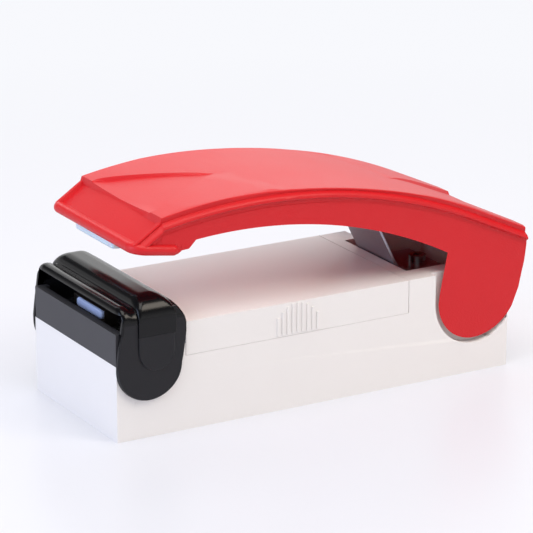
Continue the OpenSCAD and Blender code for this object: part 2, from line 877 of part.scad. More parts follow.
module switch_rivets() {
    color("silver") {
        translate([switch_end_x - 1.4, switch_y, well_z + plate_t + fit])
            cylinder(r = 1, h = 0.6);
        translate([switch_end_x - 1.4, switch_y, well_z + fit])
            cylinder(r = 0.5, h = 0.6);
        translate([switch_x + 4.2, switch_y, anvil_z + plate_t + fit])
            cylinder(r = 1, h = 0.4);
    }
}

// The middle line of the leaf spring: its foot, its bend, its blade and the curl at its top
bend_end = [bend_x - leaf_bend * cos(leaf_lean), bend_top_z];
curl_x = bend_end.x - 1.6 * curl_r - (roof_at(bend_end.x - 8) - bend_end.y) * tan(leaf_lean);
curl_z = roof_at(curl_x) - 0.15 - leaf_t / 2 - curl_r;
leaf_line = concat(
    [[leaf_x1, leaf_mid_z]],
    arc([bend_x, leaf_mid_z + leaf_bend], leaf_bend, -90, leaf_lean - 180, 8),
    arc([curl_x, curl_z], curl_r, leaf_lean, 140, 8));
function leaf_side(i, h) = let (
    run = leaf_line[min(i + 1, len(leaf_line) - 1)] - leaf_line[max(i - 1, 0)])
    leaf_line[i] + h / norm(run) * [-run.y, run.x];

module leaf_spring() {
    last = len(leaf_line) - 1;
    color("lightsteelblue")
        difference() {
            across(leaf_w)
                polygon(concat(
                    [for (i = [0:last]) leaf_side(i, leaf_t / 2)],
                    [for (i = [0:last]) leaf_side(last - i, -leaf_t / 2)]
                ));
            translate([leaf_screw_x, 0, leaf_foot_z - cut])
                cylinder(r = screw_r + 0.1, h = 3);
        }
}

module spring_screw() {
    head_z = leaf_foot_z + leaf_t + fit;
    color("silver")
        translate([leaf_screw_x, 0, 0])
            difference() {
                union() {
                    translate([0, 0, leaf_foot_z - 7])
                        cylinder(r = screw_r, h = head_z - leaf_foot_z + 7.5);
                    translate([0, 0, head_z])
                        cylinder(r = screw_head_r, h = 1.3);
                }
                translate([0, 0, head_z + 1.3])
                    cross_slot();
            }
}

// Side view of the handle without its wings
module handle_profile() {
    tail_z = arch_at(tail_x);
    polygon(concat(
        [for (x = steps(crest_x, pivot_x, 40)) [x, arch_at(x)]],
        [[tail_x, tail_z], [tail_x + 0.7, tail_z - 3.2], [pivot_x + 11, pivot_z - 3]],
        arc([pivot_x, pivot_z], ear_r, -24, -180, 26),
        [[pivot_x - ear_r + 0.5, pivot_z + 3.4]],
        [for (x = steps(under_end_x, notch_x, 40)) [x, under_at(x)]],
        [lip_point([lip_l + 3, 0.6]), lip_point([lip_l + 1.2, 0.6]), lip_point([lip_l, 0])],
        [for (t = steps(-90, -250, 8))
            lip_point(lip_roll / 2 * [1 + cos(t), 1 + sin(t)])],
        [[crest_x - 0.3, arch_at(crest_x) - 0.5]]
    ));
}

// The handle seen from above, with the lip's round corners
module handle_plan(half_w) {
    translate([lip_x + lip_corner_r, -half_w])
        square([pivot_x + 20 - lip_x, 2 * half_w]);
    translate([lip_x, -half_w + lip_corner_r])
        square([2 * lip_corner_r, 2 * (half_w - lip_corner_r)]);
    for (y = [-1, 1])
        translate([lip_x + lip_corner_r, y * (half_w - lip_corner_r)])
            circle(lip_corner_r);
}

// The inside of the handle's channel in the side view
module channel_profile() {
    front = crest_x - 2.8;
    tail_z = arch_at(tail_x);
    wall_low = pivot_z + 2;
    polygon(concat(
        [[front, -cut], [front, arch_at(crest_x) - 3.6]],
        [for (x = steps(crest_x + 1, pivot_x, 40)) [x, roof_at(x)]],
        [[tail_x - skin, tail_z - skin - 0.6], [tail_x - skin + 0.4, tail_z - 5]],
        [[tail_x - skin - 1.2, wall_low], [tail_x + 2, wall_low], [tail_x + 2, -cut]]
    ));
}

// The parts of the side view that stand out to the handle's full width
module proud_profile() {
    intersection() {
        handle_profile();
        polygon(concat(
            [for (x = steps(crest_x, pivot_x, 40)) [x, arch_at(x) + cut]],
            [[tail_x + 3, arch_at(tail_x + 3) + cut], [tail_x + 3, arch_at(tail_x + 3) - edge_h]],
            [for (x = steps(pivot_x, crest_x + 1.6, 40)) [x, arch_at(x) - edge_h]],
            [lip_point([4, lip_roll]), lip_point([lip_l + 1, lip_roll - 0.6]), lip_point([lip_l + 1, -1])],
            [lip_point([-2, -1]), lip_point([-2, lip_roll + 2])]
        ));
    }
    intersection() {
        handle_profile();
        translate([under_end_x - 3, 0])
            square([40, pivot_z + 15]);
    }
}

// The pair of raised corners at one end of the arch, between an outer and an inner fade-out
module wings(outer_x, inner_x, end_x) {
    edge_y = body_w / 2 - edge_out;
    intersection() {
        across(2 * edge_y)
            polygon(concat(
                [for (x = steps(outer_x, end_x, 12)) [x, arch_at(x) - 0.6]],
                [for (x = steps(end_x, outer_x, 12))
                    [x, arch_at(x) + wing_h * min(1, 0.01 + 2.2 * (x - outer_x) / (end_x - outer_x))]]
            ));
        linear_extrude(2 * arch_z)
            both_sides()
                polygon([[outer_x, edge_y], [inner_x, 0.2], [end_x, body_w / 2 - 5], [end_x, edge_y]]);
    }
}

// Side view of the pad that hangs in a slot in the lip
module pad_profile(grow = 0) {
    polygon([
        lip_point([pad_in - grow, -pad_drop]), lip_point([pad_in + pad_t + grow, -pad_drop]),
        lip_point([pad_in + pad_t + grow, pad_seat + grow]), lip_point([pad_in - grow, pad_seat + grow]),
    ]);
}

// The rib that presses the switch's blade as the handle goes down
module switch_rib() {
    x = switch_x + 3;
    block([x - 1, switch_y - 0.8, blade_z + 1.4], [x + 1, switch_y + 0.8, roof_at(x) + 0.6]);
}

module handle() {
    side_w = body_w - 2 * edge_out;
    color("#d8232a") {
        difference() {
            union() {
                intersection() {
                    across(side_w)
                        handle_profile();
                    linear_extrude(2 * arch_z)
                        handle_plan(side_w / 2);
                }
                intersection() {
                    across(body_w)
                        proud_profile();
                    linear_extrude(2 * arch_z)
                        handle_plan(body_w / 2);
                }
                wings(arch_x + 7, arch_x - 2, crest_x);
                wings(arch_x + 38, arch_x + 44, tail_x - 0.4);
            }
            across(2 * ear_in)
                channel_profile();
            across(pad_w + 2 * fit)
                pad_profile(fit);
        }
        both_sides()
            cross_pin(pivot_x, pivot_z, stud_r, ear_in - stud_l, ear_in + 0.5);
        switch_rib();
    }
}

module pressure_pad() {
    color("#e9eef2")
        across(pad_w)
            pad_profile();
}

body_shell();
heater_carrier();
heat_insulator();
heater_block();
heating_element();
release_tape();
element_terminals();
terminal_screws();
carrier_screws();
safety_cover();
battery_cover();
left_cell();
right_cell();
positive_contact();
negative_contact();
cell_link();
red_lead();
black_lead();
blue_lead();
switch_blade();
switch_anvil();
switch_rivets();
leaf_spring();
spring_screw();
handle();
pressure_pad();
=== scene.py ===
import json
import math

import bpy
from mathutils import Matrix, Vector


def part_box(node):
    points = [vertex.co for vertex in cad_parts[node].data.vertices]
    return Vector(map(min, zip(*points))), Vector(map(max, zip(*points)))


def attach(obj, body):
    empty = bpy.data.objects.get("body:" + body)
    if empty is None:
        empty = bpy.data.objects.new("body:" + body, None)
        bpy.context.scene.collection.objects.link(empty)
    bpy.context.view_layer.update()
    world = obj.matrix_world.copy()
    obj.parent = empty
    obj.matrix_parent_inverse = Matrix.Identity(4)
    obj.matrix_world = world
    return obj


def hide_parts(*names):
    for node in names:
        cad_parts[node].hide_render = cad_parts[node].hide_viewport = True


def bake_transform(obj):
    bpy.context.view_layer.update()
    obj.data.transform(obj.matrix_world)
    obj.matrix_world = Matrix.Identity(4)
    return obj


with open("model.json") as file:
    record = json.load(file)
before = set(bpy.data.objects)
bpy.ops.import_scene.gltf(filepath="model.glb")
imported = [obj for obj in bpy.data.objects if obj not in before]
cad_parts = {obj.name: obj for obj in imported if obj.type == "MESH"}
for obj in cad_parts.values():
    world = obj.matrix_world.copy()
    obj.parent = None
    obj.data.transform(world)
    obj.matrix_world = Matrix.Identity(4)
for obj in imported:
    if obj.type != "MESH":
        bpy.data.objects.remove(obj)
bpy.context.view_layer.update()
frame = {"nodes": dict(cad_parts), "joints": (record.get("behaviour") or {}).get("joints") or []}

scene = bpy.context.scene

# Shapes are drawn in millimetres, and each finished piece is brought to metres
MM = 0.001
# Points closer than this are one point, and places are the same within this
WELD = 0.002
NEAR = 0.01


def box_mm(node):
    """The lowest and highest corner of a frame node, in millimetres."""
    low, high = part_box(node)
    return low / MM, high / MM


def joint_place(name):
    """Where a hinge of the frame turns, in millimetres."""
    return next(Vector(j["pos_m"]) / MM for j in frame["joints"] if j["name"] == name)


# Sizes that the frame gives
body_low, body_high = box_mm("body_shell")
cover_high = box_mm("safety_cover")[1]
lid_low, lid_high = box_mm("battery_cover")
panel_low = box_mm("heater_carrier")[0]
pivot = joint_place("handle_press")
flip = joint_place("safety_cover_flip")
half_w = body_high.y
body_h = body_high.z
front_x = body_low.x

# The handle's side view: the arcs of its top and its underside, the leaning lip and the ears
ARCH_R = 130
ARCH_RISE = 25.2
ARCH_BACK = 54.6
UNDER_R = 112
UNDER_RISE = 18.2
UNDER_BACK = 60.6
SKIN = 1.8
EAR_R = 9.5
EAR_T = 2
CREST_IN = 11.6
LIP_IN = 3.8
LIP_L = 11.4
LIP_DROP = 8.5
LIP_TILT = math.radians(9)
LIP_ROLL = 2.3
LIP_CORNER = 3.8
LIP_NOTCH = 4.4
TAIL_L = 13.3
EAR_FRONT = 2.2
arch_x = pivot.x - ARCH_BACK
arch_z = body_h + ARCH_RISE
under_x = pivot.x - UNDER_BACK
under_z = body_h + UNDER_RISE
crest_x = front_x + CREST_IN
lip_x = front_x + LIP_IN
lip_z = arch_z - LIP_DROP
tail_x = pivot.x + TAIL_L
notch_x = lip_x + LIP_L + LIP_NOTCH
under_end_x = pivot.x - EAR_R + EAR_FRONT


def steps(first, last, count):
    """Evenly spread values from first to last, with both ends."""
    return [first + (last - first) * i / count for i in range(count + 1)]


def arc(centre, radius, first, last, count):
    """Points on a round arc, with angles in degrees."""
    turns = [math.radians(t) for t in steps(first, last, count)]
    return [(centre[0] + radius * math.cos(t), centre[1] + radius * math.sin(t)) for t in turns]


def drop_of(x, centre, radius):
    """How far a round arc has fallen at x from its top, as a negative height."""
    return math.sqrt(radius ** 2 - (x - centre) ** 2) - radius


def slope_at(x):
    """Fall of the handle's top line at x, which is round as far as the pivot and straight behind it."""
    reach = min(x, pivot.x) - arch_x
    return reach / math.sqrt(ARCH_R ** 2 - reach ** 2)


def arch_at(x):
    """Height of the handle's top line at x."""
    return arch_z + drop_of(min(x, pivot.x), arch_x, ARCH_R) - max(0, x - pivot.x) * slope_at(pivot.x)


def under_at(x):
    """Height of the handle's underside at x."""
    return under_z + drop_of(x, under_x, UNDER_R)


def lip_point(along, up):
    """A point of the side view that leans with the lip's underside."""
    return (lip_x + along * math.cos(LIP_TILT) + up * math.sin(LIP_TILT),
            lip_z - along * math.sin(LIP_TILT) + up * math.cos(LIP_TILT))


# Tools of the bench


def deselect():
    bpy.ops.object.select_all(action="DESELECT")


def hold(piece):
    """Selects one piece alone."""
    deselect()
    piece.select_set(True)
    bpy.context.view_layer.objects.active = piece


def edit(piece, mode="FACE"):
    """Opens a piece for work on its faces or its edges."""
    hold(piece)
    bpy.ops.object.mode_set(mode="EDIT")
    bpy.ops.mesh.select_mode(type=mode)


def leave():
    bpy.ops.object.mode_set(mode="OBJECT")


def choose_edges(piece, wanted):
    """Selects the edges whose two ends, given in millimetres, the rule accepts."""
    edit(piece, "EDGE")
    bpy.ops.mesh.select_all(action="DESELECT")
    leave()
    corners = piece.data.vertices
    for edge in piece.data.edges:
        edge.select = wanted(*(corners[i].co for i in edge.vertices))
    bpy.ops.object.mode_set(mode="EDIT")


def bevel(piece, wanted, width, segments=3):
    """Rounds the edges that the rule accepts."""
    choose_edges(piece, wanted)
    bpy.ops.mesh.bevel(offset=width, segments=segments, clamp_overlap=True)
    leave()


def tidy_faces(piece, flat=0.5):
    """Merges doubles, joins flat neighbours into one face and points the faces outwards."""
    edit(piece)
    bpy.ops.mesh.select_all(action="SELECT")
    bpy.ops.mesh.remove_doubles(threshold=WELD)
    bpy.ops.mesh.dissolve_limited(angle_limit=math.radians(flat))
    bpy.ops.mesh.normals_make_consistent(inside=False)
    leave()


def outline(name, corners):
    """A flat face with a corner at each point."""
    deselect()
    bpy.ops.mesh.primitive_circle_add(vertices=len(corners), radius=1, fill_type="NGON")
    piece = bpy.context.object
    piece.name = name
    for vertex, corner in zip(piece.data.vertices, corners):
        vertex.co = corner
    return piece


def pull(piece, move):
    """Extrudes an outline into a solid."""
    edit(piece)
    bpy.ops.mesh.select_all(action="SELECT")
    bpy.ops.mesh.extrude_region_move(TRANSFORM_OT_translate={"value": move})
    bpy.ops.mesh.select_all(action="SELECT")
    bpy.ops.mesh.normals_make_consistent(inside=False)
    leave()
    return piece


def side_solid(name, corners, y0, y1):
    """A shape of the side view, pulled across the body."""
    return pull(outline(name, [(x, y0, z) for x, z in corners]), (0, y1 - y0, 0))


def plan_solid(name, corners, z0, z1):
    """A shape seen from above, pulled upwards."""
    return pull(outline(name, [(x, y, z0) for x, y in corners]), (0, 0, z1 - z0))


def block(name, low, high):
    """A box between two corners."""
    deselect()
    bpy.ops.mesh.primitive_cube_add(size=1)
    piece = bpy.context.object
    piece.name = name
    for vertex in piece.data.vertices:
        vertex.co = [low[i] if vertex.co[i] < 0 else high[i] for i in range(3)]
    return piece


def cut_with(piece, tool, operation="DIFFERENCE"):
    """Cuts a piece with a tool, or joins or crosses them, and clears the tool away."""
    hold(piece)
    work = piece.modifiers.new("cut", "BOOLEAN")
    work.solver = "MANIFOLD"
    work.operation = operation
    work.object = tool
    bpy.ops.object.modifier_apply(modifier=work.name)
    bpy.data.objects.remove(tool)
    return piece


def loft(name, rings):
    """A solid pulled from ring to ring, where every ring has as many points."""
    piece = outline(name, rings[0])
    for ring in rings[1:]:
        edit(piece)
        if ring is rings[1]:
            bpy.ops.mesh.select_all(action="SELECT")
        bpy.ops.mesh.extrude_region_move()
        leave()
        front = [v for v in piece.data.vertices if v.select]
        for vertex, point in zip(front, ring):
            vertex.co = point
    edit(piece)
    bpy.ops.mesh.select_all(action="SELECT")
    bpy.ops.mesh.normals_make_consistent(inside=False)
    leave()
    return piece


def soften(piece, angle=35):
    """Shades a piece smoothly up to an angle, with flat faces kept flat."""
    hold(piece)
    bpy.ops.object.shade_smooth_by_angle(angle=math.radians(angle))
    work = piece.modifiers.new("flat faces stay flat", "WEIGHTED_NORMAL")
    work.keep_sharp = True
    work.weight = 100
    work.thresh = 0.1
    bpy.ops.object.modifier_apply(modifier=work.name)


def to_metres(piece):
    """Brings a piece to metres, with its place in its mesh."""
    hold(piece)
    piece.scale = (MM, MM, MM)
    bpy.ops.object.transform_apply(location=True, rotation=True, scale=True)


def place(piece, body, slot, finishes, *nodes, smooth=35):
    """Brings a piece to metres, gives it its finishes and puts it on its body for these nodes."""
    soften(piece, smooth)
    to_metres(piece)
    piece.data.materials.clear()
    for finish in finishes:
        piece.data.materials.append(finish)
    if body:
        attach(piece, body)
    if nodes:
        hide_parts(*nodes)
    return piece


def node_copy(node, name):
    """A merged copy of a frame node in millimetres, to be finished as a piece."""
    piece = bpy.data.objects.new(name, frame["nodes"][node].data.copy())
    scene.collection.objects.link(piece)
    for vertex in piece.data.vertices:
        vertex.co = vertex.co / MM
    tidy_faces(piece)
    return piece


def soft_edges(piece, width, angle=40, segments=3):
    """Rounds every edge of a piece that is sharper than an angle."""
    hold(piece)
    work = piece.modifiers.new("soft edges", "BEVEL")
    work.limit_method = "ANGLE"
    work.angle_limit = math.radians(angle)
    work.width = width
    work.segments = segments
    work.use_clamp_overlap = True
    work.harden_normals = True
    bpy.ops.object.modifier_apply(modifier=work.name)


# Materials

# How deep a full grain is, and the share by which the roughness drifts with the tone
GRAIN_DEPTH = 0.05
WEAR = 0.12


def linear(code):
    """An sRGB hex colour as linear light."""
    parts = [int(code[i:i + 2], 16) / 255 for i in (1, 3, 5)]
    light = [p / 12.92 if p <= 0.04045 else ((p + 0.055) / 1.055) ** 2.4 for p in parts]
    return (*light, 1)


def add(tree, kind, inputs=None, links=None, **settings):
    """Adds a node with its settings, its fixed inputs and its links from other sockets."""
    node = tree.nodes.new(kind)
    for name, value in settings.items():
        setattr(node, name, value)
    for name, value in (inputs or {}).items():
        node.inputs[name].default_value = value
    for name, source in (links or {}).items():
        tree.links.new(source, node.inputs[name])
    return node


def finish_of(name, colour, roughness, grain_mm=0.0, grain=0.0, tone=0.0, tone_mm=20, **shader):
    """A moulded or rolled finish with a fine grain, and a slow change of tone over the surface."""
    material = bpy.data.materials.new(name)
    material.use_nodes = True
    tree = material.node_tree
    surface = tree.nodes["Principled BSDF"]
    surface.inputs["Base Color"].default_value = linear(colour)
    surface.inputs["Roughness"].default_value = roughness
    for key, value in shader.items():
        surface.inputs[key.replace("_", " ")].default_value = value
    where = add(tree, "ShaderNodeTexCoord").outputs["Object"]
    if tone:
        drift = add(tree, "ShaderNodeTexNoise", {"Scale": 1 / (tone_mm * MM), "Detail": 3}, {"Vector": where})
        ramp = add(tree, "ShaderNodeMapRange", {"To Min": 1 - tone, "To Max": 1 + tone},
                   {"Value": drift.outputs["Fac"]})
        mixed = add(tree, "ShaderNodeHueSaturation", {"Color": linear(colour)},
                    {"Value": ramp.outputs["Result"]})
        tree.links.new(mixed.outputs["Color"], surface.inputs["Base Color"])
        wear = add(tree, "ShaderNodeMapRange",
                   {"To Min": roughness * (1 - WEAR), "To Max": roughness * (1 + WEAR)},
                   {"Value": drift.outputs["Fac"]})
        tree.links.new(wear.outputs["Result"], surface.inputs["Roughness"])
    if grain:
        texture = add(tree, "ShaderNodeTexNoise", {"Scale": 1 / (grain_mm * MM), "Detail": 2},
                      {"Vector": where})
        bump = add(tree, "ShaderNodeBump", {"Strength": grain, "Distance": GRAIN_DEPTH * MM},
                   {"Height": texture.outputs["Fac"]})
        tree.links.new(bump.outputs["Normal"], surface.inputs["Normal"])
    return material


# ABS moulded in a finely sparked mould: a saturated red with a broad, soft sheen
red_abs = finish_of("red moulded ABS", "#D4171F", 0.38, 0.35, 1.0, 0.03, Specular_IOR_Level=0.4)
# ABS moulded white: warm, nearly matt, with a faint grain
white_abs = finish_of("white moulded ABS", "#F2EEEC", 0.34, 0.3, 0.15, 0.012)
# The safety cover's polished part: nearly black, with sharp reflections
black_gloss = finish_of("polished black ABS", "#08080B", 0.2, 0.4, 0.04, 0.02, Specular_IOR_Level=0.3)
# The safety cover's lower ears, from the matt half of the mould
black_matt = finish_of("matt black ABS", "#17171C", 0.45, 0.25, 0.3, 0.03, Specular_IOR_Level=0.35)
# Heat resistant plastic of the panel: dark grey and matt
dark_panel = finish_of("dark heat resistant plastic", "#3A393D", 0.5, 0.25, 0.35, 0.03)
# Ceramic of the heater: pale blue-white with a fine speckle
pale_ceramic = finish_of("pale ceramic", "#B9C9F2", 0.4, 0.5, 0.3, 0.05, 1.2)
# Silicone of the pad: translucent, bluish white and smooth
silicone = finish_of("silicone", "#DCE9F6", 0.35, 0.4, 0.05, 0.01, Subsurface_Weight=0.3)
# Rolled spring steel: bright grey with a soft reflection
spring_steel = finish_of("rolled spring steel", "#A9A8B4", 0.3, 0.2, 0.1, 0.03, 8, Metallic=1.0)
# Zinc plated screws: greyer and softer than the spring
zinc = finish_of("zinc plated steel", "#A8A7A5", 0.32, 0.3, 0.1, 0.04, 4, Metallic=1.0)
# Nickel plated contacts: bright, slightly warm
nickel = finish_of("nickel plate", "#C2BDB4", 0.22, 0.4, 0.05, 0.02, 5, Metallic=1.0)
# Pressed brass: yellow with a soft sheen
brass = finish_of("pressed brass", "#C79A4B", 0.3, 0.4, 0.1, 0.03, 4, Metallic=1.0)
# Resistance ribbon: dull grey-brown rolled metal
resistance_alloy = finish_of("resistance ribbon", "#8C8884", 0.35, 0.3, 0.1, 0.05, 2, Metallic=1.0)
# Coated glass cloth: painted nearly black as the shade under the safety cover, with a weave of about 0.4 mm
glass_cloth_in_painted_shade = finish_of("coated glass cloth", "#241D18", 0.5, 0.4, 0.5, 0.05, 2)
# Mica sheet: flakes painted dark brown as the shade under the safety cover
mica_in_painted_shade = finish_of("mica sheet", "#3A322A", 0.5, 0.8, 0.3, 0.1, 3)
# Shrink sleeve of the cells: plain blue-grey, glossy
cell_sleeve = finish_of("shrink sleeve", "#33496B", 0.3, 1.0, 0.05, 0.02)
# Extruded PVC of the leads
red_pvc = finish_of("red PVC", "#BF1C22", 0.4, 0.6, 0.1, 0.02, 5)
blue_pvc = finish_of("blue PVC", "#1F3F9B", 0.4, 0.6, 0.1, 0.02, 5)
black_pvc = finish_of("black PVC", "#1A1A1C", 0.4, 0.6, 0.1, 0.02, 5)

# The handle

# Half widths of the walls, of the top plate and of the lip
side_y = half_w - 0.4
plate_y = half_w - 0.8
lip_y = half_w + 0.6
# The ridge along the plate's edge, and its round edge: how far out and how deep
RIDGE_W = 1.35
RIDGE_ROUND = 0.3
PLATE_EDGE = [(-0.3, 0), (-0.08, 0.08), (0, 0.3)]
# The bead under the plate's edge: how far out and how deep
BEAD = [(-0.15, 0.42), (-0.18, 0.58), (0.05, 0.76), (0.4, 0.92), (0.75, 1.16), (0.98, 1.45), (1.03, 1.65),
        (0.97, 1.84), (0.8, 1.98), (0.55, 2.08), (0.36, 2.22), (0.27, 2.5), (0.3, 2.85)]
BEAD_LOW = 3.1
# The slices' walls reach down to this height, well below the side view
WALL_LOW = 5
# The slope in front of the crest, with its shallow crown
SLOPE = 0.65
SLOPE_STEP = 0.1
SLOPE_DIP = 0.25
SLOPE_CROWN = 0.5
# Heights of the raised corners over the arch along x, and of the plate's edge
FRONT_RISE = [(-38, 0.65), (-30, 0.75), (-9, 0.45), (-3.5, 0)]
REAR_RISE = [(23.5, 0), (27, 0.4), (40, 0.65), (50, 0.7)]
EDGE_RISE = [(-38, 0.65), (-24, 0.65), (-4, 0.1), (4, 0), (14, 0), (30, 0.35), (50, 0.5)]
# How far the raised corners' ends sweep along x from edge to middle, and where the rear ones take over
FRONT_SWEEP = 11
REAR_SWEEP = 6
REAR_FROM = 10
# Just behind the crest the middle swells up towards the risers
CREST_SWELL = 0.45
SWELL_L = 4
# The risers between the raised corners and the middle start from a tip and spread as far as RISER_OUT
FRONT_TIP = -2
REAR_TIP = 44
FRONT_SPREAD = 0.647
REAR_SPREAD = 0.54
RISER_OUT = 13.4
# A riser's section: where its foot starts, the points up it, its width, and its height at the first point
RISER_FOOT = 0.3
LEAST_FOOT = 0.15
RISER_STEPS = [0.35, 0.5]
RISER_W = 0.8
RISER_SHARE = 0.75
# The side view stays open this far above the handle
OPEN_H = 9
# Corners of the tail from its top corner, and of the ear's rear edge from the tail's x and the pivot's z
TAIL_EDGE = [(0.5, OPEN_H), (0.5, 0), (0.7, -3.2)]
EAR_REAR_EDGE = [(0.1, 6.5), (-1.3, 0.5)]
# The ear's rear is a larger round, about a point above the pivot and a little ahead of it
EAR_LIFT = 3
EAR_AHEAD = 0.3
# The ear's front edge ends below this height over the pivot
EAR_TOP = 12.5
EAR_ROUND = 0.75
# Corners of the step over the lip, along it and up from its underside
LIP_STEP = [(LIP_L + 2.6, 1.5), (LIP_L + 1, 1.15), (LIP_L, 0.3), (1, 0.3)]
# The slices start past the tail, and their ends are cut off with the side view
HANDLE_SLICES = 64
SLOPE_SLICES = 6
PAST_TAIL = 3
# The lip's round corners and its rolled edge, as a share of its thickness
LIP_SIDE_ROUND = 1.2
ROLL_SHARE = 0.46
# The handle's hollow: its front wall, its roof at the crest, and where its rear wall ends over the pivot
FRONT_WALL = 2.8
CREST_WALL = 3.6
EAR_WEB = 2
# The studs on which the handle turns: radius, inner end, root in the ear, and the turn of their outline
STUD_R = 2
STUD_END = 14.8
STUD_IN = 0.4
STUD_ARC = (0, 345, 23)


def between(x, line):
    """Height at x of a line through points, level before its first and after its last."""
    for (x0, z0), (x1, z1) in zip(line, line[1:]):
        if x <= x1:
            return z0 + (z1 - z0) * max(0, (x - x0) / (x1 - x0))
    return line[-1][1]


def rise(x, y):
    """Height of the raised corners over the arch."""
    inward = 1 - y / half_w
    if y < riser_y(x):
        return CREST_SWELL * max(0, 1 - (x - crest_x) / SWELL_L) ** 2 * (y / riser_y(x)) ** 1.5
    if x > REAR_FROM:
        return between(x - REAR_SWEEP * inward, REAR_RISE)
    return between(x + FRONT_SWEEP * inward, FRONT_RISE)


def riser_y(x):
    """Distance from the middle at which the raised corners begin."""
    front = FRONT_SPREAD * (arch_x + FRONT_TIP - x)
    rear = REAR_SPREAD * (x - arch_x - REAR_TIP)
    return min(RISER_OUT, max(0, front, rear))


def handle_ring(x, on_slope=False):
    """A slice of the handle's outside at x, from one lower corner over the top to the other."""
    riser = riser_y(x)
    foot = max(LEAST_FOOT, riser - RISER_FOOT)
    ridge = plate_y - RIDGE_W
    valley = steps(0, foot, 3)
    across = (valley + [foot + step for step in RISER_STEPS]
              + steps(foot + RISER_W, ridge, 3) + [ridge + RIDGE_ROUND])
    if on_slope:
        top_z = arch_at(crest_x) - SLOPE_STEP - SLOPE * (crest_x - x)
        lean = math.hypot(1, SLOPE)
        upper = [(y, SLOPE_DIP + SLOPE_CROWN * (y / half_w) ** 2) for y in across[:-1]] + [(across[-1], 0)]
        lift = 0
    else:
        top_z = arch_at(x)
        lean = math.hypot(1, slope_at(x))
        heights = [rise(x, y) for y in across]
        if riser:
            heights[len(valley)] *= RISER_SHARE
        upper = [(y, -height) for y, height in zip(across, heights)]
        lift = between(x, EDGE_RISE)
    edge = [(plate_y + out, depth - lift) for out, depth in PLATE_EDGE]
    half = upper + edge + [(plate_y + out, depth) for out, depth in BEAD] + [(side_y, BEAD_LOW)]
    half = [(y, top_z - depth * lean) for y, depth in half] + [(side_y, WALL_LOW)]
    return [(x, -y, z) for y, z in reversed(half)] + [(x, y, z) for y, z in half[1:]]


def handle_outline():
    """The side view of the handle, open above its top line."""
    tail_z = arch_at(tail_x)
    tail = [(tail_x + x, tail_z + z) for x, z in TAIL_EDGE]
    ear = ([(tail_x + x, pivot.z + z) for x, z in EAR_REAR_EDGE]
           + arc((pivot.x - EAR_AHEAD, pivot.z + EAR_LIFT), EAR_R + EAR_LIFT, -32, -87, 14)
           + arc((pivot.x, pivot.z), EAR_R, -92, -180, 20)
           + [(pivot.x - EAR_R + 0.5, pivot.z + 3.4)])
    under = [(x, under_at(x)) for x in steps(under_end_x, notch_x, 40)]
    lip = [lip_point(along, up) for along, up in LIP_STEP]
    clear_x = lip_x - 4
    return tail + ear + under + lip + [(clear_x, lip_z), (clear_x, arch_z + OPEN_H)]


def lip_plan(front, half, corner, rear):
    """A plate seen from above, with round front corners."""
    turn = [(front + corner - corner * math.sin(t), half - corner + corner * math.cos(t))
            for t in steps(0, math.pi / 2, 12)]
    return [(rear, -half)] + [(x, -y) for x, y in turn] + [(x, y) for x, y in reversed(turn)] + [(rear, half)]


def rolled_lip():
    """The lip: a plate whose edge is rolled half round, leaning with the handle."""
    lip = plan_solid("rolled lip", lip_plan(0, lip_y, LIP_CORNER, LIP_L), 0, LIP_ROLL)
    bevel(lip, lambda a, b: abs(a.z - b.z) > 1 and a.x > 5, LIP_SIDE_ROUND, 4)
    bevel(lip, lambda a, b: abs(a.z - b.z) < 0.1, LIP_ROLL * ROLL_SHARE, 5)
    for vertex in lip.data.vertices:
        x, z = lip_point(vertex.co.x, vertex.co.z)
        vertex.co = (x, vertex.co.y, z)
    return lip


def handle_channel():
    """The hollow of the handle, open below and between the ears."""
    tail_z = arch_at(tail_x)
    front = crest_x - FRONT_WALL
    rear = tail_x - SKIN
    past = tail_x + 2
    wall_low = pivot.z + EAR_WEB
    channel = ([(front, 0), (front, arch_at(crest_x) - CREST_WALL)]
               + [(x, arch_at(x) - SKIN) for x in steps(crest_x + 1, pivot.x, 40)]
               + [(rear, tail_z - SKIN - 0.6), (rear + 0.4, tail_z - 5), (rear - 1.2, wall_low),
                  (past, wall_low), (past, 0)])
    inner_y = half_w - EAR_T
    return side_solid("channel", channel, -inner_y, inner_y)


def red_handle():
    """The handle: slices from tail to lip, cut to the side view and hollowed, with its lip and studs."""
    places = [tail_x + PAST_TAIL] + steps(tail_x, crest_x, HANDLE_SLICES)
    rings = [handle_ring(x) for x in places]
    rings += [handle_ring(x, True) for x in steps(crest_x - 0.35, lip_x - 0.5, SLOPE_SLICES)]
    handle = loft("red_handle", rings)
    wide = half_w + 3
    cut_with(handle, side_solid("side view", handle_outline(), -wide, wide), "INTERSECT")
    front = plan_solid("plan", lip_plan(lip_x + 0.8, half_w + 1, LIP_CORNER, tail_x + OPEN_H), 0, 60)
    cut_with(handle, front, "INTERSECT")
    cut_with(handle, rolled_lip(), "UNION")
    tidy_faces(handle)
    bevel(handle, lambda a, b: side_y - NEAR < min(abs(a.y), abs(b.y)) < side_y + NEAR
          and on_lower_edge(a) and on_lower_edge(b), EAR_ROUND, 4)
    cut_with(handle, handle_channel())
    for side in (-1, 1):
        low, high = sorted((side * STUD_END, side * (half_w - EAR_T + STUD_IN)))
        cut_with(handle, side_solid("stud", arc(pivot.xz, STUD_R, *STUD_ARC), low, high), "UNION")
    tidy_faces(handle)
    return place(handle, "handle", "red_abs", [red_abs], "handle")


def on_lower_edge(point):
    """True for a point of the handle's outline below the bead and behind the lip."""
    if point.x > tail_x - 0.1:
        return point.z < arch_at(tail_x) - BEAD_LOW
    if point.x > under_end_x + 0.1:
        from_pivot = math.hypot(point.x - pivot.x, point.z - pivot.z)
        return point.z < pivot.z + EAR_TOP and from_pivot > EAR_R - 0.2
    return point.x > notch_x - 3 and point.z < under_at(point.x) + 0.05


# The body and the battery cover, from their frame nodes

